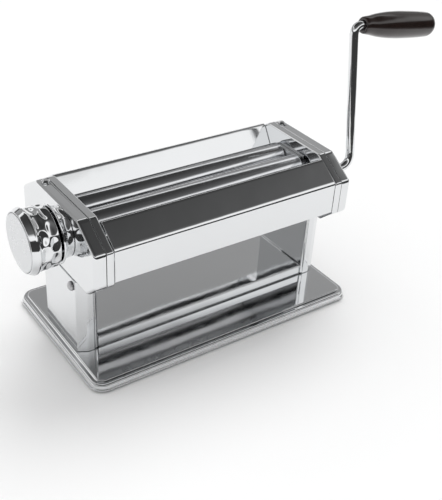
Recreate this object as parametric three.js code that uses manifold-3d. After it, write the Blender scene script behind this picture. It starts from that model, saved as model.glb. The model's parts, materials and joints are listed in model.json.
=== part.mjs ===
// Hand-cranked pasta and clay roller. Millimetres, +Z up, +X towards the crank, -Y is the front.
// The origin is under the middle of the whole object, on the surface that its feet stand on.
import * as THREE from "three";
import { mergeVertices } from "three/addons/utils/BufferGeometryUtils.js";
import Module from "manifold-3d";

const wasm = await Module();
wasm.setup();

// Clearances and sheet
const gap = 0.3; // between pieces that rest on or turn in each other
const pressing = 1.2; // covers, hoods, trims and the base
const framePlate = 2.5;
const endShell = 1.5; // walls of the end housings and columns
const over = 1; // how far a cutter runs past the piece it cuts
const coarse = 20; // sides of a small round
const fine = 36; // sides of a turned piece
const drilled = 12; // sides of a fixing hole

// Base
const span = 204.4; // clear width between the two side frames
const base = { length: span + 47.6, depth: 144, corner: 12, rimTop: 7.3, top: 9.2, rim: 5.5 };
const foot = { radius: 9, clear: 2, inset: 18 };
const bridge = { halfDepth: 30, top: 18.7 };

// End housings: an inner pan and an outer cap, eight-sided in side view
const head = { top: 132, topHalf: 35, half: 60, shoulder: 116, hip: 88, bottom: 75.7, bottomHalf: 46 };
const frame = { in: span / 2, bandEnd: span / 2 + 6.2 };
const seam = 0.5; // open line between pan and cap
const cap = { in: frame.bandEnd + seam, out: frame.bandEnd + seam + 9.4 };
const frameBack = frame.in + framePlate;
const capInner = cap.out - 2;

// Columns
const column = { half: 31, sideHalf: 27, chamfer: 7.5 };

// Hoods over the hopper
const hood = { lip: 26.4, lipHeight: 110.9, crest: 39.8, crestHeight: 130.2, front: 59.5, bottom: 89.5 };
const hoodTurn = 3; // turned-in lip at the bottom edge

// Rollers
const axle = 112; // height of every shaft
const roller = { radius: 11, length: span - 8.4, widest: 2.4, narrowest: 0.2, journal: 5 };
const rearY = roller.radius + roller.widest / 2;
const frontY = -rearY;
const travel = roller.widest - roller.narrowest;

// Gears: the pitch circles of the roller gears are as wide as the rollers
const rollerTeeth = 11;
const pinionTeeth = 10;
const module = (2 * roller.radius) / rollerTeeth;
const gear = { from: frameBack + 3.3, width: 6.5, addendum: 0.9 * module, dedendum: 1.2 * module };
const tooth = { root: 1.65 * module, pitch: 1.15 * module, tip: 0.5 * module }; // thickness
const meshPlay = 0.5; // how far the pinion stands back from the front gear
const driveY = frontY - ((rollerTeeth + pinionTeeth) * module) / 2 - meshPlay;

// Drive shaft, crank and grip
const crank = { radius: 3.75, reach: cap.out + 22.7, bend: 13, rise: 119, lean: 9, droop: 7, stub: 9 };
const socket = crank.radius + 0.35; // bore that the rod slides into
const drive = { radius: socket + 1.4, flange: socket + 4.9, mouth: cap.out + 3.5, depth: 15 };
const grip = { length: 79, radius: 11.2, neck: crank.radius + 3.05, wall: 8 };

// Regulator
const knob = { y: frontY + travel / 2, back: cap.out + 11.5, ring: 25.2, face: 23.2, front: cap.out + 34.5 };
const knobLip = 0.8;
const collar = { radius: 23, foot: 19.5, depth: 9.5, holes: 10, holeCircle: 14 };
const spindle = 4;
const springPocket = { depth: 19, radius: spindle + 3 };
const cam = { pin: 2.5, disc: 7.5, slack: 0.6 };

// Carriage that moves the front roller
const block = { half: 8, flange: 9.3, rise: 11, plate: 2.4 };
const bar = { y: -33, z: 97, width: 8, height: 4 };
const tie = { y: 51.5, z: 97, radius: 4, nut: 6.4, nutThick: 4 };

const paint = (color, roughness, metalness = 1) =>
  new THREE.MeshStandardMaterial({ color, roughness, metalness });
const chrome = () => paint(0xd9dbdd, 0.08);
const brushed = () => paint(0xc4c6c8, 0.3);
const steel = () => paint(0x9a9da0, 0.35);
const black = () => paint(0x1c1513, 0.25, 0);
const rubber = () => paint(0x1a1a1a, 0.9, 0);
const nylon = () => paint(0xd8d4c8, 0.5, 0);

// Solids -----------------------------------------------------------------------------------

function solid(geometry) {
  const bare = geometry.clone();
  bare.deleteAttribute("normal");
  bare.deleteAttribute("uv");
  const merged = mergeVertices(bare, 1e-4);
  const vertProperties = new Float32Array(merged.attributes.position.array);
  const triVerts = new Uint32Array(merged.index.array);
  return new wasm.Manifold(new wasm.Mesh({ numProp: 3, vertProperties, triVerts }));
}

function geometryOf(body) {
  const mesh = body.getMesh();
  const geometry = new THREE.BufferGeometry();
  geometry.setAttribute("position", new THREE.BufferAttribute(mesh.vertProperties, 3));
  geometry.setIndex(new THREE.BufferAttribute(mesh.triVerts, 1));
  geometry.computeVertexNormals();
  return geometry;
}

const shapeOf = (points) => new THREE.Shape(points.map(([a, b]) => new THREE.Vector2(a, b)));

function extrude(shape, depth) {
  return new THREE.ExtrudeGeometry(shape, { depth, bevelEnabled: false, curveSegments: 6 });
}

// A side-view outline of (y, z) points, from x0 to x1
function slab(points, x0, x1) {
  const turned = new THREE.Matrix4().set(0, 0, 1, x0, 1, 0, 0, 0, 0, 1, 0, 0, 0, 0, 0, 1);
  return solid(extrude(shapeOf(points), x1 - x0).applyMatrix4(turned));
}

// A plan outline, from z0 to z1
function plan(shape, z0, z1) {
  return solid(extrude(shape, z1 - z0).translate(0, 0, z0));
}

function block3(x0, x1, y0, y1, z0, z1) {
  const box = new THREE.BoxGeometry(x1 - x0, y1 - y0, z1 - z0);
  return solid(box.translate((x0 + x1) / 2, (y0 + y1) / 2, (z0 + z1) / 2));
}

// A cylinder along X
function rod(radius, x0, x1, y, z, sides = coarse) {
  const bar3 = new THREE.CylinderGeometry(radius, radius, x1 - x0, sides).rotateZ(-Math.PI / 2);
  return solid(bar3.translate((x0 + x1) / 2, y, z));
}

// A cylinder along Z
function post(radius, z0, z1, x, y, sides = coarse) {
  const bar3 = new THREE.CylinderGeometry(radius, radius, z1 - z0, sides).rotateX(Math.PI / 2);
  return solid(bar3.translate(x, y, (z0 + z1) / 2));
}

// A turned piece about the X axis through (y, z); the outline is (x, radius) with x rising
function turned(outline, y, z, sides = fine) {
  const points = outline.map(([x, radius]) => new THREE.Vector2(radius, x));
  const lathe = new THREE.LatheGeometry(points, sides).rotateZ(-Math.PI / 2);
  return solid(lathe.translate(0, y, z));
}

function roundedRectangle(width, depth, corner) {
  const shape = new THREE.Shape();
  const [a, b] = [width / 2, depth / 2];
  shape.absarc(a - corner, b - corner, corner, 0, Math.PI / 2);
  shape.absarc(corner - a, b - corner, corner, Math.PI / 2, Math.PI);
  shape.absarc(corner - a, corner - b, corner, Math.PI, 1.5 * Math.PI);
  shape.absarc(a - corner, corner - b, corner, 1.5 * Math.PI, 2 * Math.PI);
  return shape;
}

// A convex outline moved inwards by a wall thickness
function inset(points, wall) {
  const count = points.length;
  const sides = points.map(([y, z], i) => {
    const [y1, z1] = points[(i + 1) % count];
    const length = Math.hypot(y1 - y, z1 - z);
    const normal = [-(z1 - z) / length, (y1 - y) / length];
    return { normal, reach: normal[0] * y + normal[1] * z + wall };
  });
  return sides.map((side, i) => {
    const last = sides[(i + count - 1) % count];
    const cross = last.normal[0] * side.normal[1] - last.normal[1] * side.normal[0];
    return [
      (last.reach * side.normal[1] - side.reach * last.normal[1]) / cross,
      (last.normal[0] * side.reach - side.normal[0] * last.reach) / cross,
    ];
  });
}

// A folded sheet: an open line of (y, z) points given a thickness on its left
function folded(points, thickness) {
  const sides = points.slice(1).map(([y1, z1], i) => {
    const [y, z] = points[i];
    const length = Math.hypot(y1 - y, z1 - z);
    return [-(z1 - z) / length, (y1 - y) / length];
  });
  const inner = points.map(([y, z], i) => {
    const before = sides[Math.max(i - 1, 0)];
    const after = sides[Math.min(i, sides.length - 1)];
    const share = 1 + before[0] * after[0] + before[1] * after[1];
    const push = thickness / share;
    return [y + push * (before[0] + after[0]), z + push * (before[1] + after[1])];
  });
  return [...points, ...inner.reverse()];
}

const mirrorY = (points) => points.map(([y, z]) => [-y, z]).reverse();
const mirrorX = (body) => body.mirror([1, 0, 0]);

// The tree of pieces -----------------------------------------------------------------------

const machine = new THREE.Group();

function add(name, body, material) {
  const mesh = new THREE.Mesh(geometryOf(body), material);
  mesh.name = name;
  machine.add(mesh);
}

// A pair of mirrored pieces; each side may differ by its own cuts
function addPair(name, make, material) {
  add("left_" + name, mirrorX(make("left")), material());
  add("right_" + name, make("right"), material());
}

// Base -------------------------------------------------------------------------------------

const boltSpots = [-15, 15];
const boltX = frameBack + 7;
const bolt = { radius: 2, head: 3.6, headThick: 2.6, nutThick: 3 };

function basePlate() {
  const inner = { length: base.length - 2 * base.rim, depth: base.depth - 2 * base.rim };
  const rim = roundedRectangle(base.length, base.depth, base.corner);
  const step = roundedRectangle(inner.length, inner.depth, base.corner - base.rim / 2);
  const wall = 2 * pressing;
  const under = roundedRectangle(base.length - wall, base.depth - wall, base.corner - pressing);
  const raisedCorner = base.corner - base.rim / 2 - pressing;
  const raised = roundedRectangle(inner.length - wall, inner.depth - wall, raisedCorner);
  let body = plan(rim, foot.clear, base.rimTop).add(plan(step, foot.clear, base.top));
  body = body.subtract(plan(under, 0, base.rimTop - pressing));
  body = body.subtract(plan(raised, 0, base.top - pressing));
  const hole = bolt.radius + gap;
  for (const x of [-boltX, boltX]) {
    for (const y of boltSpots) body = body.subtract(post(hole, 0, base.top + over, x, y, drilled));
  }
  return body;
}

function footAt(x, y) {
  const top = base.top - pressing - gap;
  const points = [[0, 0], [foot.radius - 1, 0], [foot.radius, 1], [foot.radius - 1.5, top], [0, top]];
  const lathe = new THREE.LatheGeometry(points.map(([r, z]) => new THREE.Vector2(r, z)), coarse);
  return solid(lathe.rotateX(Math.PI / 2).translate(x, y, 0));
}

function baseBridge() {
  const end = frame.in - gap;
  const bottom = base.top + gap;
  const outer = block3(-end, end, -bridge.halfDepth, bridge.halfDepth, bottom, bridge.top);
  const inner = bridge.halfDepth - pressing;
  return outer.subtract(block3(-end - over, end + over, -inner, inner, bottom - over, bridge.top - pressing));
}

add("base_plate", basePlate(), chrome());
for (const [side, x] of [["left", -1], ["right", 1]]) {
  for (const [end, y] of [["front", -1], ["rear", 1]]) {
    const place = [x * (base.length / 2 - foot.inset), y * (base.depth / 2 - foot.inset)];
    add(side + "_" + end + "_foot", footAt(...place), rubber());
  }
}
add("base_bridge", baseBridge(), chrome());

// End housings -----------------------------------------------------------------------------

const headOutline = [
  [-head.bottomHalf, head.bottom],
  [head.bottomHalf, head.bottom],
  [head.half, head.hip],
  [head.half, head.shoulder],
  [head.topHalf, head.top],
  [-head.topHalf, head.top],
  [-head.half, head.shoulder],
  [-head.half, head.hip],
];

const columnFoot = base.top + gap;
const columnTop = head.bottom - gap;
const barRun = [bar.y - bar.width / 2 - gap, bar.y + bar.width / 2 + travel + gap];
const slotRun = [frontY - block.half - gap, frontY + block.half + travel + gap];
const bush = { body: roller.journal + 2.2, flange: roller.journal + 4.5, thick: 2, rim: 1.5 };
const driveBush = drive.radius + 2;

function sideFrame(side) {
  let body = slab(headOutline, frame.in, frame.bandEnd);
  body = body.subtract(slab(inset(headOutline, endShell), frameBack, frame.bandEnd + over));
  body = body.add(block3(frame.in, frameBack, -column.half, column.half, columnFoot, head.bottom + endShell));
  const [x0, x1] = [frame.in - over, frameBack + over];
  const rise = block.half + gap;
  body = body.subtract(block3(x0, x1, ...slotRun, axle - rise, axle + rise));
  body = body.subtract(block3(x0, x1, ...barRun, bar.z - bar.height / 2 - gap, bar.z + bar.height / 2 + gap));
  body = body.subtract(rod(bush.body + gap, x0, x1, rearY, axle));
  for (const y of [-tie.y, tie.y]) body = body.subtract(rod(tie.radius + gap, x0, x1, y, tie.z, drilled));
  if (side === "right") body = body.subtract(rod(driveBush + gap, x0, x1, driveY, axle));
  return body;
}

const coverScrew = { radius: 1.8, head: 3.4, y: 28, length: 7 };

function sideCover(side) {
  let body = slab(headOutline, cap.in, cap.out);
  body = body.subtract(slab(inset(headOutline, endShell), cap.in - over, capInner));
  const [x, hole] = [(cap.in + capInner) / 2, coverScrew.radius + gap];
  const [low, high] = [head.top - endShell - over, head.top + over];
  body = body.subtract(post(hole, low, high, x, coverScrew.y, drilled));
  const [x0, x1] = [capInner - over, cap.out + over];
  if (side === "right") return body.subtract(rod(driveBush + gap, x0, x1, driveY, axle));
  return body.subtract(rod(roller.journal + gap, x0, x1, knob.y, axle));
}

function columnShell() {
  const left = frameBack + gap;
  const outer = [
    [left, -column.half],
    [cap.out - column.chamfer, -column.half],
    [cap.out, -column.sideHalf],
    [cap.out, column.sideHalf],
    [cap.out - column.chamfer, column.half],
    [left, column.half],
  ];
  const openSide = left + 2 * endShell;
  const hollow = inset(outer, endShell).map(([x, y]) => [x < openSide ? left - over : x, y]);
  let body = plan(shapeOf(outer), columnFoot, columnTop);
  body = body.subtract(plan(shapeOf(hollow), columnFoot + endShell, columnTop + over));
  for (const y of boltSpots) {
    body = body.subtract(post(bolt.radius + gap, 0, columnFoot + 2 * endShell, boltX, y, drilled));
  }
  return body.subtract(screwHole());
}

const screw = { y: -21, z: 69, radius: 2, head: 3.8, dome: 2.6, length: 6 };

function screwHole() {
  return rod(screw.radius + gap, cap.out - endShell - over, cap.out + over, screw.y, screw.z, drilled);
}

function columnScrew() {
  const face = cap.out + gap;
  const shank = [[face - screw.length, 0], [face - screw.length, screw.radius], [face, screw.radius]];
  const dome = [[face, screw.head], [face + 0.8, screw.head], [face + screw.dome - 0.4, 2.2]];
  return turned([...shank, ...dome, [face + screw.dome, 0]], screw.y, screw.z, 16);
}

function coverScrewBody() {
  const [top, low] = [head.top + gap, head.top - coverScrew.length];
  const x = (cap.in + capInner) / 2;
  const points = [[0, low], [coverScrew.radius, low], [coverScrew.radius, top], [coverScrew.head, top]];
  const dome = [[coverScrew.head, top + 0.6], [1.8, top + 1.8], [0, top + 1.9]];
  const outline = [...points, ...dome].map(([r, z]) => new THREE.Vector2(r, z));
  return solid(new THREE.LatheGeometry(outline, 16).rotateX(Math.PI / 2).translate(x, coverScrew.y, 0));
}

addPair("side_frame", sideFrame, chrome);
addPair("side_cover", sideCover, chrome);
addPair("column", columnShell, chrome);
addPair("column_screw", columnScrew, steel);
addPair("cover_screw", coverScrewBody, chrome);

function baseBolt(x, y) {
  const seat = base.top - pressing - gap;
  const top = columnFoot + endShell + gap;
  const nutTop = top + bolt.nutThick;
  const blank = post(bolt.head, top, nutTop, x, y, 6);
  const nut = blank.subtract(post(bolt.radius + gap, 0, nutTop + over, x, y, drilled));
  const head6 = post(bolt.head, seat - bolt.headThick, seat, x, y, 6);
  const stud = head6.add(post(bolt.radius, seat - over, nutTop + over, x, y, drilled));
  return { nut, stud };
}

for (const [side, x] of [["left", -boltX], ["right", boltX]]) {
  for (const [end, y] of [["front", boltSpots[0]], ["rear", boltSpots[1]]]) {
    const { nut, stud } = baseBolt(x, y);
    add(side + "_" + end + "_base_bolt", stud, steel());
    add(side + "_" + end + "_base_nut", nut, steel());
  }
}

// Hoods, tie rods and guards ---------------------------------------------------------------

function hoodOutline() {
  const { lip, lipHeight, crest, crestHeight, front, bottom } = hood;
  const line = [
    [-front + hoodTurn, bottom],
    [-front, bottom],
    [-front, head.shoulder - 1],
    [-front + 0.8, head.shoulder + 1],
    [-crest - 2.6, crestHeight - 1.5],
    [-crest + 0.4, crestHeight - 0.4],
    [-crest + 2.2, crestHeight - 2.4],
    [-lip, lipHeight],
  ];
  return folded(line, -pressing);
}

const hoodEnd = frame.in - gap;
add("front_hood", slab(hoodOutline(), -hoodEnd, hoodEnd), chrome());
add("rear_hood", slab(mirrorY(hoodOutline()), -hoodEnd, hoodEnd), chrome());

for (const [end, y] of [["front", -tie.y], ["rear", tie.y]]) {
  const reach = frameBack + gap + tie.nutThick + 1.2;
  add(end + "_tie_rod", rod(tie.radius, -reach, reach, y, tie.z, 16), steel());
}
for (const [end, y] of [["front", -tie.y], ["rear", tie.y]]) {
  const ring = () => {
    const from = frameBack + gap;
    const hole = rod(tie.radius + gap, from - over, from + tie.nutThick + over, y, tie.z, drilled);
    return rod(tie.nut, from, from + tie.nutThick, y, tie.z, 6).subtract(hole);
  };
  addPair(end + "_tie_nut", ring, steel);
}

const guard = { top: 121, half: 14, thick: 1.6, bar: 2, tip: 108.5 };

function hopperGuard() {
  const from = roller.length / 2 + 0.6;
  const shelf = block3(from, frame.in - gap, -guard.half, guard.half, guard.top - guard.bar, guard.top);
  const clear = roller.journal + 0.6;
  const outline = [
    [frontY + travel + clear, guard.tip],
    [rearY - clear, guard.tip],
    [rearY - clear, axle + 4],
    [guard.half, axle + clear + 0.6],
    [guard.half, guard.top],
    [-guard.half, guard.top],
    [-guard.half, axle + clear + 0.6],
    [frontY + travel + clear, axle + 4],
  ];
  return shelf.add(slab(outline, from, from + guard.thick));
}

addPair("hopper_guard", hopperGuard, brushed);

// Rollers and gears ------------------------------------------------------------------------

function rollerBody(y, leftEnd, rightEnd) {
  const [half, r] = [roller.length / 2, roller.radius];
  const face = [[-half, roller.journal], [-half, r - 0.6], [0.6 - half, r]];
  const far = [[half - 0.6, r], [half, r - 0.6], [half, roller.journal]];
  const ends = [[rightEnd, roller.journal], [rightEnd, 0]];
  return turned([[-leftEnd, 0], [-leftEnd, roller.journal], ...face, ...far, ...ends], y, axle);
}

function gearBody(teeth, y, bore) {
  const pitch = (module * teeth) / 2;
  const [tip, root] = [pitch + gear.addendum, pitch - gear.dedendum];
  const half = { root: tooth.root / 2 / root, pitch: tooth.pitch / 2 / pitch, tip: tooth.tip / 2 / tip };
  const points = [];
  for (let i = 0; i < teeth; i++) {
    const middle = (i * 2 * Math.PI) / teeth;
    const flank = [[root, -half.root], [pitch, -half.pitch], [tip, -half.tip]];
    const other = [[tip, half.tip], [pitch, half.pitch], [root, half.root]];
    for (const [radius, turn] of [...flank, ...other]) {
      points.push([y + radius * Math.cos(middle + turn), axle + radius * Math.sin(middle + turn)]);
    }
  }
  const blank = slab(points, gear.from, gear.from + gear.width);
  return blank.subtract(rod(bore, gear.from - over, gear.from + gear.width + over, y, axle));
}

const gearEnd = gear.from + gear.width + gap;
const journalEnd = frameBack + 0.5;
add("rear_roller", rollerBody(rearY, frameBack + 2.5, gearEnd), chrome());
add("front_roller", rollerBody(frontY, journalEnd, gearEnd), chrome());
add("rear_roller_gear", gearBody(rollerTeeth, rearY, roller.journal + gap), steel());
add("front_roller_gear", gearBody(rollerTeeth, frontY, roller.journal + gap), steel());
add("drive_pinion", gearBody(pinionTeeth, driveY, drive.radius + gap / 2), steel());

function rearBush() {
  const thick = bush.thick + gap;
  const sleeve = rod(bush.body, frame.in - gap, frameBack + thick, rearY, axle);
  const ring = sleeve.add(rod(bush.flange, frameBack + gap, frameBack + thick, rearY, axle));
  return ring.subtract(rod(roller.journal + gap, frame.in - 2, frameBack + thick + over, rearY, axle));
}

addPair("rear_bush", rearBush, nylon);

// Carriage: two sliding blocks joined by a bar ---------------------------------------------

function carriageBlock(side) {
  const { half, flange, rise, plate } = block;
  const [x0, x1, x2] = [frame.in - gap, frameBack + gap, frameBack + gap + plate];
  let body = block3(x0, x1, frontY - half, frontY + half, axle - half, axle + half);
  const [foot0, foot1] = [bar.z - bar.height / 2 - 2, bar.z + bar.height / 2 + 2];
  const outline = [
    [bar.y - bar.width / 2, foot0],
    [frontY + 2, foot0],
    [frontY + flange, axle - rise],
    [frontY + flange, axle + rise],
    [frontY - flange, axle + rise],
    [frontY - flange, foot1],
    [bar.y - bar.width / 2, foot1],
  ];
  body = body.add(slab(outline, x1, x2));
  if (side === "right") {
    return body.subtract(rod(roller.journal + gap, x0 - over, x2 + over, frontY, axle));
  }
  body = body.add(block3(x1, x2 + 2.6, frontY - 7, frontY + 7, axle - 8, axle + 8));
  body = body.subtract(rod(roller.journal + gap, x0 - over, journalEnd + gap, frontY, axle));
  const [across, up] = [cam.pin + cam.slack, cam.pin + travel / 2 + cam.slack];
  return body.subtract(block3(x2, x2 + 9, frontY - across, frontY + across, axle - up, axle + up));
}

addPair("roller_block", carriageBlock, steel);

const barEnd = frameBack;
const [barFront, barBack] = [bar.y - bar.width / 2, bar.y + bar.width / 2];
const [barLow, barHigh] = [bar.z - bar.height / 2, bar.z + bar.height / 2];
add("carriage_bar", block3(-barEnd, barEnd, barFront, barBack, barLow, barHigh), steel());
const scraperEnd = frame.in - gap;
const rearBar = block3(-scraperEnd, scraperEnd, -barBack, -barFront, barLow, barHigh);
add("rear_scraper_bar", rearBar, steel());

// A blade that lies on its bar and turns up to the underside of its roller
function scraperOutline() {
  const sheet = 1;
  const seat = barHigh + gap;
  const reach = roller.radius + sheet + 0.6;
  const angle = (35 * Math.PI) / 180;
  const tip = [rearY + reach * Math.cos(angle), axle - reach * Math.sin(angle)];
  return folded([[-barFront, seat], [-barBack, seat], tip], -sheet).reverse();
}

const blade = mirrorY(scraperOutline());
const bladeEnd = roller.length / 2;
add("rear_scraper", slab(scraperOutline(), -bladeEnd, bladeEnd), brushed());
add("front_scraper", slab(blade, -bladeEnd, bladeEnd), brushed());

// Drive ------------------------------------------------------------------------------------

function driveShaft() {
  const [inner, end] = [drive.mouth - drive.depth, drive.mouth];
  const outline = [
    [frame.in, 0],
    [frame.in, drive.radius],
    [cap.out + 2.2, drive.radius],
    [cap.out + 2.2, drive.flange - 1],
    [end - 0.5, drive.flange - 1],
    [end, drive.flange - 1.5],
    [end, socket],
    [inner, socket],
    [inner, 0],
  ];
  return turned(outline, driveY, axle, 24);
}

function innerDriveBush() {
  const thick = bush.thick + gap;
  const sleeve = rod(driveBush, frame.in, frameBack + thick, driveY, axle);
  const ring = sleeve.add(rod(drive.flange, frameBack + gap, frameBack + thick, driveY, axle));
  return ring.subtract(rod(drive.radius + gap, frame.in - over, frameBack + thick + over, driveY, axle));
}

function outerDriveBush() {
  const [x0, x1] = [capInner, cap.out + gap];
  const end = x1 + bush.rim;
  const ring = rod(driveBush, x0, end, driveY, axle).add(rod(drive.flange, x1, end, driveY, axle));
  return ring.subtract(rod(drive.radius + gap, x0 - over, end + over, driveY, axle));
}

add("drive_shaft", driveShaft(), chrome());
add("inner_drive_bush", innerDriveBush(), nylon());
add("outer_drive_bush", outerDriveBush(), chrome());

// The crank rests leaning back, turned about the drive shaft
function leanBack(geometry) {
  geometry.translate(0, -driveY, -axle).rotateX((-crank.lean * Math.PI) / 180);
  return geometry.translate(0, driveY, axle);
}

// The crank's centre line when upright: socket, bend, arm, bend, grip spindle
function crankPath() {
  const droop = (crank.droop * Math.PI) / 180;
  const along = new THREE.Vector3(Math.cos(droop), 0, -Math.sin(droop));
  const up = new THREE.Vector3(0, 0, 1);
  const low = new THREE.Vector3(crank.reach, driveY, axle);
  const high = new THREE.Vector3(crank.reach, driveY, axle + crank.rise);
  const start = new THREE.Vector3(drive.mouth - drive.depth + gap, driveY, axle);
  const end = high.clone().addScaledVector(along, crank.stub + grip.length - grip.wall);
  const beforeLow = low.clone().setX(crank.reach - crank.bend);
  const afterLow = low.clone().addScaledVector(up, crank.bend);
  const beforeHigh = high.clone().addScaledVector(up, -crank.stub);
  const afterHigh = high.clone().addScaledVector(along, crank.stub);
  const path = new THREE.CurvePath();
  path.add(new THREE.LineCurve3(start, beforeLow));
  path.add(new THREE.QuadraticBezierCurve3(beforeLow, low, afterLow));
  path.add(new THREE.LineCurve3(afterLow, beforeHigh));
  path.add(new THREE.QuadraticBezierCurve3(beforeHigh, high, afterHigh));
  path.add(new THREE.LineCurve3(afterHigh, end));
  return path;
}

function circle(radius) {
  const shape = new THREE.Shape();
  shape.absarc(0, 0, radius, 0, 2 * Math.PI);
  return shape;
}

function crankRod() {
  const section = new THREE.Shape(circle(crank.radius).getPoints(6).slice(0, -1));
  const options = { steps: 72, extrudePath: crankPath(), bevelEnabled: false, curveSegments: 1 };
  return solid(leanBack(new THREE.ExtrudeGeometry(section, options)));
}

function gripBody() {
  const { length, radius, neck, wall } = grip;
  const bore = crank.radius + gap;
  const outline = [
    [0, bore],
    [0, neck - 0.8],
    [1, neck],
    [length * 0.1, neck + 1],
    [length * 0.2, neck + 2.6],
    [length * 0.34, radius - 0.5],
    [length * 0.5, radius],
    [length * 0.8, radius - 0.4],
    [length * 0.93, radius - 1],
    [length * 0.975, radius - 2.6],
    [length, radius - 6],
    [length, 0],
    [length - wall + gap, 0],
    [length - wall + gap, bore],
  ];
  const points = outline.map(([x, r]) => new THREE.Vector2(r, x));
  const lathe = new THREE.LatheGeometry([...points, points[0]], 24).rotateZ(-Math.PI / 2);
  const droop = (crank.droop * Math.PI) / 180;
  const from = new THREE.Vector3(crank.stub, 0, 0).applyAxisAngle(new THREE.Vector3(0, 1, 0), droop);
  lathe.rotateY(droop).translate(crank.reach + from.x, driveY, axle + crank.rise + from.z);
  return solid(leanBack(lathe));
}

add("crank_rod", crankRod(), chrome());
add("crank_grip", gripBody(), black());

// Regulator: collar, knob, spindle, index pin and spring -----------------------------------
// These are built on the right and mirrored, so x grows away from the cover.

function regulatorCollar() {
  const { radius, foot: wide, depth, holes, holeCircle } = collar;
  const [back, front] = [cap.out + gap, cap.out + depth];
  const wall = 2;
  const outline = [
    [back, wide - wall],
    [back, wide],
    [back + depth * 0.6, wide + 1.2],
    [front - 0.8, radius],
    [front, radius - 0.8],
    [front, roller.journal + gap],
    [front - 3, roller.journal + gap],
    [front - 3, radius - 2 * wall],
    [back, wide - wall],
  ];
  let body = turned(outline, knob.y, axle);
  for (let i = 0; i < holes; i++) {
    const angle = Math.PI / 2 + (i * Math.PI) / (holes - 1);
    const [y, z] = [knob.y + holeCircle * Math.cos(angle), axle + holeCircle * Math.sin(angle)];
    body = body.subtract(rod(1.5, front - 1.8, front + 1, y, z, 8));
  }
  return body;
}

const springSeat = knob.front - springPocket.depth;
const spindleEnd = knob.front - 3.4;

function regulatorShaft() {
  const shoulder = capInner - gap;
  const disc = block.plate + frameBack + 3.4;
  const outline = [
    [disc, 0],
    [disc, cam.disc],
    [shoulder, cam.disc],
    [shoulder, roller.journal],
    [knob.back - 0.4, roller.journal],
    [knob.back - 0.4, spindle],
    [spindleEnd - 1.4, spindle],
    [spindleEnd - 1.4, spindle + 2.4],
    [spindleEnd, spindle + 2.4],
    [spindleEnd, 0],
  ];
  const pinTip = frameBack + gap + block.plate + gap;
  return turned(outline, knob.y, axle, 24).add(rod(cam.pin, pinTip, disc + 1, frontY, axle, 16));
}

function knobBody() {
  const { back, ring, face, front } = knob;
  const outline = [
    [back, spindle + gap],
    [back, spindle + 4.5],
    [front - 4.5, spindle + 4.5],
    [front - 4.5, face - 2],
    [back + 6, ring - 4.5],
    [back, ring - 4.2],
    [back, ring - 2.4],
    [back + 1, ring - 1.8],
    [front - 8, ring - 1],
    [front - 6.2, ring],
    [front - 4.6, ring],
    [front - 0.6, face],
    [front - 0.6, face - knobLip],
    [front - 2.8, face - knobLip],
    [front - 2.8, springPocket.radius],
    [springSeat, springPocket.radius],
    [springSeat, spindle + gap],
    [back, spindle + gap],
  ];
  return turned(outline, knob.y, axle);
}

function knobFace() {
  return rod(knob.face - knobLip - gap, knob.front - 2.5, knob.front, knob.y, axle, fine);
}

function indexPin() {
  const tip = cap.out + collar.depth + gap;
  const outline = [
    [tip, 0],
    [tip, 1.1],
    [knob.back, 1.1],
    [knob.back, 3],
    [knob.front - 4.8, 3],
    [knob.front - 4.8, 0],
  ];
  return turned(outline, knob.y, axle + collar.holeCircle, 12);
}

function knobSpring() {
  const wire = 0.5;
  const turns = 5;
  const [x0, x1] = [springSeat + wire + gap, spindleEnd - 1.4 - wire - gap];
  const mean = spindle + 1.5;
  const points = [];
  const steps = turns * 12;
  for (let i = 0; i <= steps; i++) {
    const angle = (i * 2 * Math.PI) / 12;
    const x = x0 + ((x1 - x0) * i) / steps;
    points.push(new THREE.Vector3(x, knob.y + mean * Math.cos(angle), axle + mean * Math.sin(angle)));
  }
  const extrudePath = new THREE.CatmullRomCurve3(points);
  const section = new THREE.Shape(circle(wire).getPoints(3).slice(0, -1));
  const options = { steps, extrudePath, bevelEnabled: false, curveSegments: 1 };
  return solid(new THREE.ExtrudeGeometry(section, options));
}

add("regulator_collar", mirrorX(regulatorCollar()), chrome());
add("regulator_shaft", mirrorX(regulatorShaft()), steel());
add("regulator_knob", mirrorX(knobBody()), chrome());
add("knob_face", mirrorX(knobFace()), brushed());
add("index_pin", mirrorX(indexPin()), steel());
add("knob_spring", mirrorX(knobSpring()), steel());

// The origin goes under the middle of the whole object
const extent = new THREE.Box3().setFromObject(machine, true);
machine.position.x = -(extent.min.x + extent.max.x) / 2;

export default machine;
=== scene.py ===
# The pasta roller machine's looks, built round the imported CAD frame. Metres, in the frame's own axes.
import json
import math

import bmesh
import bpy
from mathutils import Matrix, Vector


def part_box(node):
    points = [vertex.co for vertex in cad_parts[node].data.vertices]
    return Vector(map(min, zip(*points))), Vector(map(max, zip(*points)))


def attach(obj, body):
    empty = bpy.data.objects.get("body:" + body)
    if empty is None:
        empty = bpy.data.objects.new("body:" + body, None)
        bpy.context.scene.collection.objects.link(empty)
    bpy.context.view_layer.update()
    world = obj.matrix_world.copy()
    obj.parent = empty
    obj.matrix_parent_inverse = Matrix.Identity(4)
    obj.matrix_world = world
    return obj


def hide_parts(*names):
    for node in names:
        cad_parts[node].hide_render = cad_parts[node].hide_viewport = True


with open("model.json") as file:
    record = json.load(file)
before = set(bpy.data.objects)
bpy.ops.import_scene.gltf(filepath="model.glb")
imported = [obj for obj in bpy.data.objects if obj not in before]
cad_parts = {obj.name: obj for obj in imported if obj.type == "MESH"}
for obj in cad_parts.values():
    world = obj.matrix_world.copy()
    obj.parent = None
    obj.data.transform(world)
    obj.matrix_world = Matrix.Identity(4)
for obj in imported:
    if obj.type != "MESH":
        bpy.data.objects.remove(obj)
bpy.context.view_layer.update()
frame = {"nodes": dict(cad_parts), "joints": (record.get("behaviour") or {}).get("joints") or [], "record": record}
nodes = frame["nodes"]
MM = 0.001

# Places, all read from the frame, in metres -----------------------------------------------


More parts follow.
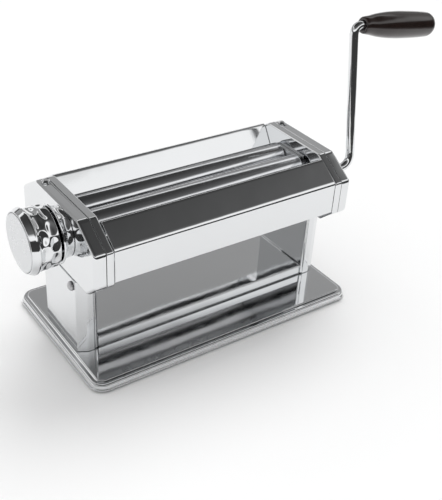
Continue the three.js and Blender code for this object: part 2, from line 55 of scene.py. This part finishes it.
def middle(node):
    low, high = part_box(node)
    return [(a + b) / 2 for a, b in zip(low, high)]


mid_x = middle("base_plate")[0]
axle_z = middle("rear_roller")[2]
knob_y = middle("regulator_knob")[1]
drive_y = middle("drive_shaft")[1]
rod_end_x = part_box("crank_rod")[0][0]

# Sizes that the frame's boxes don't give, in millimetres ----------------------------------

ROD = 3.75  # radius of the crank's rod
ROD_BEND = 13.0  # how far the lower bend reaches along each leg
ROD_STUB = 9.0  # the same for the upper bend, up to the grip
GRIP_LENGTH = 79.0
GRIP_WALL = 8.0  # closed end of the grip's bore
GRIP_RADIUS, GRIP_NECK, GRIP_BORE = 11.2, 6.8, 4.05
DRIVE_RADIUS, DRIVE_FLANGE, DRIVE_SOCKET, DRIVE_DEPTH = 5.5, 8.0, 4.1, 15.0
BUSH_BORE, BUSH_RADIUS, BUSH_RIM = 5.8, 7.5, 9.0
ROLLER_HALF, ROLLER_JOURNAL, ROLLER_EDGE = 98.0, 5.0, 0.6
KNOB_LIP, KNOB_HUB, KNOB_POCKET, KNOB_POCKET_DEPTH = 0.8, 4.3, 7.0, 19.0
KNOB_DIMPLES, COLLAR_DIMPLES = 12, 12
BASE_CORNER = 12.0

# Materials --------------------------------------------------------------------------------


class Nodes:
    """A short way to write a node tree."""

    def __init__(self, name):
        self.material = bpy.data.materials.new(name)
        self.material.use_nodes = True
        self.tree = self.material.node_tree
        self.shader = self.tree.nodes["Principled BSDF"]
        self.place = self.add("ShaderNodeTexCoord").outputs["Object"]

    def add(self, kind, **inputs):
        node = self.tree.nodes.new(kind)
        for key, value in inputs.items():
            self.set(node, key.replace("_", " "), value)
        return node

    def set(self, node, key, value):
        socket = node.inputs[key]
        if isinstance(value, bpy.types.NodeSocket):
            self.tree.links.new(value, socket)
        else:
            socket.default_value = value

    def stretched(self, scale):
        mapping = self.add("ShaderNodeMapping", Vector=self.place, Scale=scale)
        return mapping.outputs["Vector"]

    def noise(self, scale, detail=3.0, stretch=(1, 1, 1), roughness=0.55):
        vector = self.stretched(stretch)
        sizes = {"Scale": scale, "Detail": detail, "Roughness": roughness}
        return self.add("ShaderNodeTexNoise", Vector=vector, **sizes).outputs["Fac"]

    def spread(self, value, low, high, start=0.3, end=0.7):
        node = self.tree.nodes.new("ShaderNodeMapRange")
        self.set(node, "Value", value)
        for key, number in (("From Min", start), ("From Max", end), ("To Min", low), ("To Max", high)):
            node.inputs[key].default_value = number
        return node.outputs["Result"]

    def bump(self, height, strength, distance, below=None):
        node = self.add("ShaderNodeBump", Height=height, Strength=strength, Distance=distance)
        if below is not None:
            self.set(node, "Normal", below)
        return node.outputs["Normal"]

    def tint(self, value, first, second):
        ramp = self.tree.nodes.new("ShaderNodeValToRGB")
        self.set(ramp, "Fac", value)
        ramp.color_ramp.elements[0].color = (*first, 1)
        ramp.color_ramp.elements[1].color = (*second, 1)
        return ramp.outputs["Color"]


def metal(name, color, rough, wave=0.0, wave_size=28.0, grain=None, smudge=0.05):
    """Metal with smudges in its polish, sheet waviness and, if asked, a brushed grain."""
    m = Nodes(name)
    shader = m.shader
    shader.inputs["Metallic"].default_value = 1.0
    darker = tuple(c * 0.93 for c in color)
    m.set(shader, "Base Color", m.tint(m.noise(9.0, 4), darker, color))
    polish = m.noise(60.0, 6, roughness=0.7)
    m.set(shader, "Roughness", m.spread(polish, rough, rough + smudge))
    normal = None
    if wave:
        normal = m.bump(m.noise(wave_size, 1.5), wave, 0.004)
    fine = m.noise(900.0, 2, stretch=grain or (1, 1, 1))
    normal = m.bump(fine, 0.05 if grain is None else 0.35, 0.00012, normal)
    m.set(shader, "Normal", normal)
    return m.material


def plastic(name, dark, light, rough, coat=0.0, speck=700.0, bump=0.06):
    m = Nodes(name)
    m.set(m.shader, "Base Color", m.tint(m.noise(120.0, 5), dark, light))
    m.set(m.shader, "Roughness", m.spread(m.noise(45.0, 5), rough, rough + 0.10))
    m.set(m.shader, "Normal", m.bump(m.noise(speck, 3), bump, 0.0002))
    m.shader.inputs["Coat Weight"].default_value = coat
    m.shader.inputs["Coat Roughness"].default_value = 0.08
    return m.material


CHROME = metal("chrome", (0.80, 0.81, 0.82), 0.035, wave=0.10)
PLATE = metal("base_chrome", (0.78, 0.79, 0.80), 0.04, wave=0.07, wave_size=16.0)
ROLLER = metal("roller_steel", (0.74, 0.75, 0.77), 0.09, grain=(0.03, 1, 1))
BRUSHED = metal("brushed", (0.72, 0.73, 0.74), 0.24, grain=(1, 1, 0.04), smudge=0.10)
STEEL = metal("plain_steel", (0.50, 0.50, 0.51), 0.28, smudge=0.16)
GRIP = plastic("grip_plastic", (0.010, 0.005, 0.004), (0.018, 0.009, 0.007), 0.16, coat=0.5)
NYLON = plastic("bush_nylon", (0.62, 0.60, 0.54), (0.72, 0.70, 0.64), 0.45)
RUBBER = plastic("foot_rubber", (0.010, 0.010, 0.010), (0.022, 0.022, 0.021), 0.75, bump=0.2)

FINISH = {
    "chrome": CHROME,
    "roller_steel": ROLLER,
    "brushed": BRUSHED,
    "plain_steel": STEEL,
    "grip_plastic": GRIP,
    "bush_nylon": NYLON,
    "foot_rubber": RUBBER,
}

# Mesh helpers -----------------------------------------------------------------------------


def piece(name, mesh, material, body, slot, *stands_for):
    obj = bpy.data.objects.new(name, mesh)
    bpy.context.scene.collection.objects.link(obj)
    obj.data.materials.append(material)
    for face in obj.data.polygons:
        face.use_smooth = True
    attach(obj, body)
    if stands_for:
        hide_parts(*stands_for)
    return obj


def soften(points, reach, steps=4, closed=False):
    """Rounds each corner of a line of points by up to reach."""
    out = []
    count = len(points)
    for i, here in enumerate(points):
        at_end = not closed and i in (0, count - 1)
        here = Vector(here)
        before, after = Vector(points[i - 1]), Vector(points[(i + 1) % count])
        if at_end:
            out.append(here)
            continue
        back, ahead = before - here, after - here
        cut = min(reach, back.length * 0.45, ahead.length * 0.45)
        a, b = here + back.normalized() * cut, here + ahead.normalized() * cut
        for k in range(steps + 1):
            t = k / steps
            out.append(a * (1 - t) ** 2 + here * (2 * t * (1 - t)) + b * t * t)
    return out


def lathe(name, outline, y, z, steps=128, relief=None, soft=0.4, closed=True):
    """A turned shape about an X axis. outline is (x, radius) in millimetres, x in the machine's frame.
    relief(x, radius, angle) gives how much deeper the surface lies there."""
    line = soften([(a, b) for a, b in outline], soft, closed=closed)
    mesh = bpy.data.meshes.new(name)
    bm = bmesh.new()
    rings = []
    for x, radius in line:
        if radius < 1e-6:
            rings.append([bm.verts.new((x * MM, y, z))])
            continue
        ring = []
        for k in range(steps):
            angle = 2 * math.pi * k / steps
            r = radius - (relief(x, radius, angle) if relief else 0)
            ring.append(bm.verts.new((x * MM, y + r * MM * math.cos(angle), z + r * MM * math.sin(angle))))
        rings.append(ring)
    pairs = list(zip(rings, rings[1:]))
    if closed:
        pairs.append((rings[-1], rings[0]))
    for one, two in pairs:
        for k in range(steps):
            n = (k + 1) % steps
            corners = [one[k % len(one)], one[n % len(one)], two[n % len(two)], two[k % len(two)]]
            unique = list(dict.fromkeys(corners))
            if len(unique) > 2:
                bm.faces.new(unique)
    bmesh.ops.recalc_face_normals(bm, faces=bm.faces)
    bm.to_mesh(mesh)
    bm.free()
    return mesh


def sharpen(obj, degrees=35):
    """Keeps creases crisp where faces meet at more than this angle."""
    split = math.radians(degrees)
    mesh = obj.data
    bm = bmesh.new()
    bm.from_mesh(mesh)
    for edge in bm.edges:
        if len(edge.link_faces) == 2 and edge.calc_face_angle(0) > split:
            edge.smooth = False
    bm.to_mesh(mesh)
    bm.free()


SMOOTH_BELOW = 22  # degrees; gentler edges are facets of a curve


def rounded(node, material, width, weigh=None, segments=3):
    """A copy of a CAD node with its sharp edges rounded by up to width, in millimetres.
    weigh(middle, ahead, turn) gives the share of width that an edge takes: middle is in millimetres,
    ahead is the edge's direction, and turn is in degrees, above 0 where the edge is convex."""
    source = nodes[node]
    mesh = source.data.copy()
    bm = bmesh.new()
    bm.from_mesh(mesh)
    bmesh.ops.remove_doubles(bm, verts=bm.verts, dist=1e-6)
    bmesh.ops.dissolve_limit(bm, angle_limit=math.radians(0.8), verts=bm.verts, edges=bm.edges)
    layer = bm.edges.layers.float.new("bevel_weight_edge")
    for edge in bm.edges:
        if len(edge.link_faces) != 2:
            continue
        turn = edge.calc_face_angle_signed(0)
        if abs(turn) < math.radians(SMOOTH_BELOW):
            continue
        a, b = (v.co / MM for v in edge.verts)
        share = weigh((a + b) / 2, (b - a).normalized(), math.degrees(turn)) if weigh else 1.0
        edge[layer] = share
        if share == 0:
            edge.smooth = False
    for face in bm.faces:
        face.smooth = True
    bm.to_mesh(mesh)
    bm.free()
    mesh.attributes.remove(mesh.attributes["custom_normal"])
    mesh.materials.clear()
    obj = piece(node + "_made", mesh, material, body_of(node), slot_of(node), node)
    bevel = obj.modifiers.new("edges", "BEVEL")
    bevel.width = width * MM
    bevel.segments = segments
    bevel.limit_method = "WEIGHT"
    bevel.use_clamp_overlap = False
    bevel.miter_outer = "MITER_SHARP"
    normals = obj.modifiers.new("normals", "WEIGHTED_NORMAL")
    normals.keep_sharp = True
    normals.weight = 60
    return obj


def body_of(node):
    """The body a CAD node belongs to."""
    bodies = frame["record"]["behaviour"]["bodies"]
    return next(body for body, members in bodies.items() if node in members)


def slot_of(node):
    return next(s["material_slot"] for s in frame["record"]["subparts"] if s["node"] == node)


def dress(node, material):
    """Gives a CAD node that stays its finish."""
    obj = nodes[node]
    obj.data.materials.clear()
    obj.data.materials.append(material)
    for face in obj.data.polygons:
        face.use_smooth = True
    weld = obj.modifiers.new("one skin", "WELD")
    weld.merge_threshold = 1e-6
    split = obj.modifiers.new("creases", "EDGE_SPLIT")
    split.split_angle = math.radians(32)


# Pieces -----------------------------------------------------------------------------------


def machine_x(node, end):
    """A node's lowest (0) or highest (1) x, in millimetres."""
    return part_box(node)[end][0] / MM


def radius_of(node):
    """Half a turned node's width across its axis, in millimetres."""
    low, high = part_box(node)
    return (high[1] - low[1]) / 2 / MM


def dent(along, around, depth):
    """How deep a rounded dimple is at a place given in shares of its half length and half width."""
    reach = along * along + around * around
    return depth * (1 - reach) ** 1.5 if reach < 1 else 0


def knob():
    """The pull-out knob: a dimpled skirt, a plain rim and a brushed disc set in its face."""
    front, back = machine_x("knob_face", 0), machine_x("regulator_knob", 1)
    ring = radius_of("regulator_knob")
    face = ring - 2
    hub, pocket = KNOB_HUB, front + KNOB_POCKET_DEPTH
    outline = [
        (back, hub),
        (back, hub + 4.2),
        (front + 4.5, hub + 4.2),
        (front + 4.5, face - 2),
        (back - 6, ring - 4.5),
        (back, ring - 4.2),
        (back, ring - 2.6),
    ]
    skirt = 28
    for k in range(skirt + 1):
        t = k / skirt
        outline.append((back - 0.7 - (back - front - 8.2) * t, ring - 1.9 + 0.8 * t))
    outline += [
        (front + 6.9, ring - 0.9),
        (front + 6.2, ring),
        (front + 4.8, ring),
        (front + 0.9, face + 0.15),
        (front + 0.5, face - 0.1),
        (front + 0.5, face - KNOB_LIP),
        (front + 2.8, face - KNOB_LIP),
        (front + 2.8, KNOB_POCKET),
        (pocket, KNOB_POCKET),
        (pocket, hub),
    ]
    rows = [(back - 4.6, 0.0), (back - 12.0, 0.5)]

    def dimples(x, radius, angle):
        if radius < ring - 2.4 or x < front + 7.2:
            return 0
        depth = 0
        for centre, turn in rows:
            around = ((angle * KNOB_DIMPLES / (2 * math.pi) + turn) % 1.0 - 0.5) * 1.9
            depth += dent((x - centre) / 4.1, around, 1.35)
        return depth

    mesh = lathe("knob_shell", outline, knob_y, axle_z, steps=288, relief=dimples, soft=0.45)
    shell = piece("knob_shell", mesh, CHROME, "knob", "chrome", "regulator_knob")
    sharpen(shell, 50)
    radius = radius_of("knob_face")
    a, b = machine_x("knob_face", 0), machine_x("knob_face", 1)
    disc = [(b, 0), (b, radius), (a + 0.4, radius), (a, radius - 0.5), (a + 0.05, radius / 2), (a + 0.1, 0)]
    mesh = lathe("knob_disc", disc, knob_y, axle_z, soft=0.3, closed=False)
    face = piece("knob_disc", mesh, BRUSHED, "knob", "brushed", "knob_face")
    sharpen(face, 40)


def collar():
    """The fixed, flared and dimpled collar behind the knob."""
    front, back = machine_x("regulator_collar", 0), machine_x("regulator_collar", 1)
    wide = radius_of("regulator_collar")
    foot = wide - 3.5
    bore = 5.3
    outline = [(back, foot - 2), (back, foot)]
    flare = 16
    for k in range(flare + 1):
        t = k / flare
        outline.append((back - 0.5 - (back - front - 1.5) * t, foot + 3.4 * t ** 1.8))
    outline += [(front, wide - 0.8), (front, bore), (front + 3, bore), (front + 3, wide - 4.2)]

    def scallops(x, radius, angle):
        if radius < foot - 0.5 or x < front + 1.0 or x > back - 0.6:
            return 0
        around = ((angle * COLLAR_DIMPLES / (2 * math.pi)) % 1.0 - 0.5) * 1.9
        return dent((x - (front + back) / 2) / 4.2, around, 1.1)

    mesh = lathe("collar_shell", outline, knob_y, axle_z, steps=240, relief=scallops, soft=0.5)
    sharpen(piece("collar_shell", mesh, CHROME, "root", "chrome", "regulator_collar"), 50)


def grip_axis():
    """Where the grip starts on the rod, and which way it points."""
    joint = next(j for j in frame["joints"] if j["name"] == "grip_spin")
    return Vector(joint["pos_m"]), Vector(joint["axis"])


def tube(name, points, radius, sides=40):
    """A round rod along a line of points, closed at both ends."""
    mesh = bpy.data.meshes.new(name)
    bm = bmesh.new()
    ways = [(b - a).normalized() for a, b in zip(points, points[1:])]
    ways = [ways[0]] + [(a + b).normalized() for a, b in zip(ways, ways[1:])] + [ways[-1]]
    side = ways[0].orthogonal().normalized()
    rings = []
    for point, way in zip(points, ways):
        side = (side - way * side.dot(way)).normalized()
        other = way.cross(side)
        spokes = [2 * math.pi * k / sides for k in range(sides)]
        rim = [side * math.cos(a) + other * math.sin(a) for a in spokes]
        rings.append([bm.verts.new(point + radius * spoke) for spoke in rim])
    for one, two in zip(rings, rings[1:]):
        for k in range(sides):
            bm.faces.new((one[k], one[(k + 1) % sides], two[(k + 1) % sides], two[k]))
    bm.faces.new(reversed(rings[0]))
    bm.faces.new(rings[-1])
    bmesh.ops.recalc_face_normals(bm, faces=bm.faces)
    bm.to_mesh(mesh)
    bm.free()
    return mesh


def crank():
    """The bent rod, from the bottom of its socket to the end of the grip's bore."""
    start, along = grip_axis()
    corner = start - along * ROD_STUB * MM
    foot = Vector((corner.x, drive_y, axle_z))
    inner = Vector((rod_end_x, drive_y, axle_z))
    end = start + along * (GRIP_LENGTH - GRIP_WALL) * MM
    points = [inner]

    def bend(before, here, after, reach, steps=20):
        a = here + (before - here).normalized() * reach
        b = here + (after - here).normalized() * reach
        for k in range(steps + 1):
            t = k / steps
            points.append(a * (1 - t) ** 2 + here * (2 * t * (1 - t)) + b * t * t)

    bend(inner, foot, corner, ROD_BEND * MM)
    bend(foot, corner, end, ROD_STUB * MM)
    points.append(end)
    mesh = tube("crank_bar", points, ROD * MM)
    sharpen(piece("crank_bar", mesh, CHROME, "crank", "chrome", "crank_rod"), 40)


def grip():
    """The dark grip, thin at its neck and full in the hand."""
    start, along = grip_axis()
    length, radius, neck, bore = GRIP_LENGTH, GRIP_RADIUS, GRIP_NECK, GRIP_BORE
    outline = [
        (0, bore),
        (0, neck - 1.2),
        (0.6, neck - 0.2),
        (length * 0.03, neck + 0.3),
        (length * 0.10, neck + 1.0),
        (length * 0.20, neck + 2.6),
        (length * 0.34, radius - 0.5),
        (length * 0.50, radius),
        (length * 0.66, radius - 0.1),
        (length * 0.80, radius - 0.4),
        (length * 0.93, radius - 1.0),
        (length * 0.975, radius - 2.6),
        (length, radius - 6.0),
        (length, 0),
        (length - GRIP_WALL + 0.3, 0),
        (length - GRIP_WALL + 0.3, bore),
    ]
    mesh = lathe("grip_body", outline, 0, 0, steps=96, soft=4.0)
    turn = Vector((1, 0, 0)).rotation_difference(along).to_matrix().to_4x4()
    mesh.transform(Matrix.Translation(start) @ turn)
    sharpen(piece("grip_body", mesh, GRIP, "grip", "grip_plastic", "crank_grip"), 60)


def rollers():
    for name in ("front_roller", "rear_roller"):
        low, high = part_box(name)
        y, z = (low[1] + high[1]) / 2, (low[2] + high[2]) / 2
        radius = radius_of(name)
        left, right = mid_x / MM - ROLLER_HALF, mid_x / MM + ROLLER_HALF
        outline = [
            (low[0] / MM, 0),
            (low[0] / MM, ROLLER_JOURNAL),
            (left, ROLLER_JOURNAL),
            (left, radius - ROLLER_EDGE),
            (left + ROLLER_EDGE, radius),
            (right - ROLLER_EDGE, radius),
            (right, radius - ROLLER_EDGE),
            (right, ROLLER_JOURNAL),
            (high[0] / MM, ROLLER_JOURNAL),
            (high[0] / MM, 0),
        ]
        mesh = lathe(name + "_ground", outline, y, z, steps=96, soft=0.3, closed=False)
        sharpen(piece(name + "_ground", mesh, ROLLER, name, "roller_steel", name), 40)


def drive_collar():
    """The drive shaft, bored for the crank's rod, and the chrome ring that it turns in."""
    a, b = machine_x("drive_shaft", 0), machine_x("drive_shaft", 1)
    outline = [
        (a, 0),
        (a, DRIVE_RADIUS),
        (b - 1.3, DRIVE_RADIUS),
        (b - 1.3, DRIVE_FLANGE),
        (b - 0.5, DRIVE_FLANGE),
        (b, DRIVE_FLANGE - 0.5),
        (b, DRIVE_SOCKET),
        (b - DRIVE_DEPTH, DRIVE_SOCKET),
        (b - DRIVE_DEPTH, 0),
    ]
    mesh = lathe("drive_socket", outline, drive_y, axle_z, steps=96, soft=0.3, closed=False)
    sharpen(piece("drive_socket", mesh, CHROME, "drive", "chrome", "drive_shaft"), 40)
    a, b = machine_x("outer_drive_bush", 0), machine_x("outer_drive_bush", 1)
    ring = [
        (a, BUSH_BORE),
        (a, BUSH_RADIUS),
        (b - 1.5, BUSH_RADIUS),
        (b - 1.5, BUSH_RIM),
        (b - 0.4, BUSH_RIM),
        (b, BUSH_RIM - 0.5),
        (b, BUSH_BORE),
    ]
    mesh = lathe("drive_ring", ring, drive_y, axle_z, steps=96, soft=0.3)
    sharpen(piece("drive_ring", mesh, CHROME, "root", "chrome", "outer_drive_bush"), 40)


def ring_line(half_x, half_y, corner, steps=10):
    """Points round a rectangle with round corners, counterclockwise."""
    points = []
    centres = [(1, 1, 0), (-1, 1, 90), (-1, -1, 180), (1, -1, 270)]
    for sx, sy, start in centres:
        cx, cy = sx * (half_x - corner), sy * (half_y - corner)
        for k in range(steps + 1):
            a = math.radians(start + 90 * k / steps)
            points.append((cx + corner * math.cos(a), cy + corner * math.sin(a)))
    return points


def base_tray():
    """The pressed tray: a rolled lower lip, a ledge and a raised deck, hollow underneath."""
    low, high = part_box("base_plate")
    half_x, half_y = (high[0] - low[0]) / 2 / MM, (high[1] - low[1]) / 2 / MM
    bottom, deck = low[2] / MM, high[2] / MM
    # how far in from the outline, and how high
    section = [
        (2.6, deck - 1.4),
        (1.4, bottom),
        (0.5, bottom),
        (0.1, bottom + 0.4),
        (0.0, bottom + 1.0),
        (0.35, bottom + 1.5),
        (0.9, bottom + 1.7),
        (1.0, bottom + 2.2),
        (1.0, bottom + 3.2),
        (1.2, deck - 3.0),
        (1.7, deck - 2.3),
        (2.4, deck - 1.95),
        (3.4, deck - 1.9),
        (4.4, deck - 1.8),
        (4.9, deck - 1.4),
        (5.1, deck - 0.7),
        (5.6, deck - 0.15),
        (6.4, deck),
    ]
    mesh = bpy.data.meshes.new("base_tray")
    bm = bmesh.new()
    rings = []
    for inset, z in section:
        line = ring_line(half_x - inset, half_y - inset, max(BASE_CORNER - inset, 1.5))
        rings.append([bm.verts.new(((mid_x / MM + x) * MM, y * MM, z * MM)) for x, y in line])
    for one, two in zip(rings, rings[1:]):
        count = len(one)
        for k in range(count):
            bm.faces.new((one[k], one[(k + 1) % count], two[(k + 1) % count], two[k]))
    bm.faces.new(rings[-1])
    bm.faces.new(rings[0])
    bmesh.ops.recalc_face_normals(bm, faces=bm.faces)
    bm.to_mesh(mesh)
    bm.free()
    tray = piece("base_tray", mesh, PLATE, "root", "chrome", "base_plate")
    sharpen(tray, 60)
    normals = tray.modifiers.new("normals", "WEIGHTED_NORMAL")
    normals.keep_sharp = True


LENGTHWISE = 0.9  # an edge runs along an axis if its direction has at least this share of it


def at_rim(middle):
    """True on a housing's eight-sided outline, false round its shaft holes."""
    return math.hypot(middle.y - knob_y / MM, middle.z - axle_z / MM) > 17 or middle.y < -40


def outer_edges(edge_x):
    """Rounds the outline at edge_x and the corners along X, and only breaks the other edges."""

    def weigh(middle, ahead, turn):
        if turn < 0:
            return 0
        outer = abs(middle.x - edge_x) < 0.4 and at_rim(middle)
        return 1.0 if outer or abs(ahead.x) > LENGTHWISE else 0.12

    return weigh


def hood_folds(middle, ahead, turn):
    """Rounds the long bends, less at the crest, where the sheet turns back on itself."""
    if abs(turn) > 75 or abs(ahead.x) < LENGTHWISE:
        return 0.15
    if middle.z > axle_z / MM + 14:
        return 0.35 if turn > 0 else 0.1
    return 1.0 if turn > 0 else 0.4


def upright_corners(middle, ahead, turn):
    return 1.0 if abs(ahead.z) > LENGTHWISE and turn > 0 else 0.2


def convex_edges(middle, ahead, turn):
    return 1.0 if turn > 0 else 0.3


def sheet_metal():
    """Covers, frames, hoods, columns and the channel, with the bends of pressed sheet."""
    for side, outside in (("left", 0), ("right", 1)):
        cover, pan = side + "_side_cover", side + "_side_frame"
        rounded(cover, CHROME, 2.6, outer_edges(machine_x(cover, outside)), segments=6)
        rounded(pan, CHROME, 1.5, outer_edges(machine_x(pan, 1 - outside)), segments=4)
        rounded(side + "_column", CHROME, 1.2, upright_corners, segments=4)
        rounded(side + "_hopper_guard", BRUSHED, 0.3, segments=2)
    rounded("front_hood", CHROME, 2.0, hood_folds, segments=5)
    rounded("rear_hood", CHROME, 2.0, hood_folds, segments=5)
    rounded("base_bridge", PLATE, 1.4, convex_edges, segments=4)


def carried_over():
    """Every CAD node that stays gets its finish."""
    for name in nodes:
        if not nodes[name].hide_render:
            dress(name, FINISH[slot_of(name)])


# Stage, light and camera ------------------------------------------------------------------


FLOOR_NEAR, FLOOR_FAR = 0.75, 8.0
WALL_HEIGHT = 12.0  # half of it is under the floor
TENT_RADIUS = 4.5


def floor():
    """A wide pale floor. Only its near part shows in the chrome, so that the tent does too."""
    m = Nodes("floor_paper")
    m.set(m.shader, "Base Color", m.tint(m.noise(2.0, 2), (0.93, 0.93, 0.93), (0.95, 0.95, 0.95)))
    m.shader.inputs["Roughness"].default_value = 0.9
    m.shader.inputs["Specular IOR Level"].default_value = 0.0
    count = 96
    near = FLOOR_NEAR
    for name, inner, outer, mirrored in (("floor", 0.0, near, True), ("far_floor", near, FLOOR_FAR, False)):
        mesh = bpy.data.meshes.new(name)
        turns = [2 * math.pi * k / count for k in range(count)]
        if inner:
            points = [(r * math.cos(a), r * math.sin(a), 0) for r in (inner, outer) for a in turns]
            faces = [(k, k + count, (k + 1) % count + count, (k + 1) % count) for k in range(count)]
        else:
            points = [(outer * math.cos(a), outer * math.sin(a), 0) for a in turns]
            faces = [tuple(range(count))]
        mesh.from_pydata(points, [], faces)
        obj = bpy.data.objects.new(name, mesh)
        bpy.context.scene.collection.objects.link(obj)
        obj.data.materials.append(m.material)
        obj.visible_glossy = mirrored


def hide_from(obj, *rays):
    for ray in rays:
        setattr(obj, "visible_" + ray, False)


def backdrop():
    """A white wall round the far floor, so that low views end in white. It lights and mirrors nothing."""
    m = Nodes("backdrop_white")
    m.tree.nodes.remove(m.shader)
    glow = m.add("ShaderNodeEmission", Color=(1, 1, 1, 1), Strength=1.0)
    m.tree.links.new(glow.outputs["Emission"], m.tree.nodes["Material Output"].inputs["Surface"])
    mesh = bpy.data.meshes.new("backdrop")
    wide = FLOOR_FAR - 0.1
    bm = bmesh.new()
    bmesh.ops.create_cone(bm, segments=96, radius1=wide, radius2=wide, depth=WALL_HEIGHT)
    bm.to_mesh(mesh)
    bm.free()
    mesh.materials.append(m.material)
    obj = bpy.data.objects.new("backdrop", mesh)
    bpy.context.scene.collection.objects.link(obj)
    hide_from(obj, "diffuse", "glossy", "shadow", "transmission")


def surroundings():
    """Plain white light from everywhere."""
    world = bpy.data.worlds.new("white_room")
    bpy.context.scene.world = world
    world.use_nodes = True
    background = world.node_tree.nodes["Background"]
    background.inputs["Color"].default_value = (1, 1, 1, 1)
    background.inputs["Strength"].default_value = 0.66


def tent():
    """What the chrome mirrors. Behind the object, from the floor up: a white wall, a dark rail, a grey
    slope, a strip of light and a dark roof. In front: a dark wall, a white window and a dark roof.
    It shows only in reflections and gives no light of its own."""
    mesh = bpy.data.meshes.new("tent")
    bm = bmesh.new()
    bmesh.ops.create_uvsphere(bm, u_segments=64, v_segments=48, radius=TENT_RADIUS)
    bmesh.ops.reverse_faces(bm, faces=bm.faces)
    bm.to_mesh(mesh)
    bm.free()
    for face in mesh.polygons:
        face.use_smooth = True
    obj = bpy.data.objects.new("tent", mesh)
    bpy.context.scene.collection.objects.link(obj)
    m = Nodes("tent_cloth")
    tree = m.tree
    tree.nodes.remove(m.shader)
    aim = m.add("ShaderNodeVectorMath", Vector=m.place)
    aim.operation = "NORMALIZE"
    parts = tree.nodes.new("ShaderNodeSeparateXYZ")
    tree.links.new(aim.outputs["Vector"], parts.inputs[0])
    height = m.add("ShaderNodeMapRange", Value=parts.outputs["Z"])
    height.inputs["From Min"].default_value = -1.0

    def climb(stops):
        """Greys by height, from -1 straight down to 1 straight up."""
        ramp = tree.nodes.new("ShaderNodeValToRGB")
        tree.links.new(height.outputs["Result"], ramp.inputs["Fac"])
        while len(ramp.color_ramp.elements) < len(stops):
            ramp.color_ramp.elements.new(0.5)
        for element, (position, grey) in zip(ramp.color_ramp.elements, stops):
            element.position = (position + 1) / 2
            element.color = (grey, grey, grey, 1)
        return ramp.outputs["Color"]

    white_wall = [(-0.3, 1.0), (0.24, 1.0)]
    dark_rail = [(0.29, 0.08), (0.36, 0.10)]
    grey_slope = [(0.41, 0.40), (0.56, 0.36), (0.65, 0.30)]
    lamp_strip = [(0.67, 1.1), (0.74, 1.1)]
    roof = [(0.77, 0.06), (1.0, 0.04)]
    behind = climb(white_wall + dark_rail + grey_slope + lamp_strip + roof)
    dark_wall = [(-0.3, 0.6), (-0.14, 0.05), (0.38, 0.04)]
    window = [(0.43, 1.1), (0.58, 1.1)]
    dark_roof = [(0.68, 0.16), (0.80, 0.11), (1.0, 0.04)]
    before = climb(dark_wall + window + dark_roof)
    side = m.add("ShaderNodeMapRange", Value=parts.outputs["Y"])
    side.interpolation_type = "SMOOTHSTEP"
    side.inputs["From Min"].default_value = -0.25
    side.inputs["From Max"].default_value = 0.25
    mix = tree.nodes.new("ShaderNodeMix")
    mix.data_type = "RGBA"
    tree.links.new(side.outputs["Result"], mix.inputs["Factor"])
    tree.links.new(before, mix.inputs["A"])
    tree.links.new(behind, mix.inputs["B"])
    glow = m.add("ShaderNodeEmission", Color=mix.outputs["Result"], Strength=1.0)
    tree.links.new(glow.outputs["Emission"], tree.nodes["Material Output"].inputs["Surface"])
    mesh.materials.append(m.material)
    hide_from(obj, "camera", "diffuse", "shadow", "transmission")


def lamp(name, azimuth, elevation, power, spread):
    """A soft sun. Azimuth runs clockwise from the back, and spread is its width in degrees."""
    light = bpy.data.lights.new(name, "SUN")
    light.energy = power
    light.angle = math.radians(spread)
    obj = bpy.data.objects.new(name, light)
    bpy.context.scene.collection.objects.link(obj)
    a, e = math.radians(azimuth), math.radians(elevation)
    towards = Vector((math.sin(a) * math.cos(e), math.cos(a) * math.cos(e), math.sin(e)))
    obj.rotation_euler = towards.to_track_quat("Z", "Y").to_euler()
    obj.visible_glossy = False


def camera():
    """A view from the front left and above. The camera steps aside after aiming, which puts the
    machine off the picture's middle without a lens shift."""
    azimuth, elevation, roll = (math.radians(d) for d in (36.73, 32.93, 3.92))
    distance = 0.7083
    aim = Vector((mid_x, 0, 0.066))
    side_step, rise = -0.02675, 0.01263
    forward = Vector((math.sin(azimuth), math.cos(azimuth), 0)) * math.cos(elevation)
    forward.z = -math.sin(elevation)
    right = forward.cross(Vector((0, 0, 1))).normalized()
    up = right.cross(forward)
    c, s = math.cos(roll), math.sin(roll)
    right, up = c * right + s * up, -s * right + c * up
    place = aim - forward * distance - right * side_step - up * rise
    turn = Matrix((right, up, -forward)).transposed()
    data = bpy.data.cameras.new("camera")
    data.lens = 60.98
    data.sensor_width = 36.0
    data.clip_start = 0.01
    obj = bpy.data.objects.new("camera", data)
    obj.matrix_world = Matrix.Translation(place) @ turn.to_4x4()
    bpy.context.scene.collection.objects.link(obj)
    bpy.context.scene.camera = obj


bpy.context.scene.view_settings.view_transform = "Standard"
camera()
knob()
collar()
crank()
grip()
rollers()
drive_collar()
base_tray()
sheet_metal()
carried_over()
floor()
backdrop()
surroundings()
tent()
lamp("key", 48, 55, 1.25, 40)
lamp("fill", -60, 60, 0.4, 90)
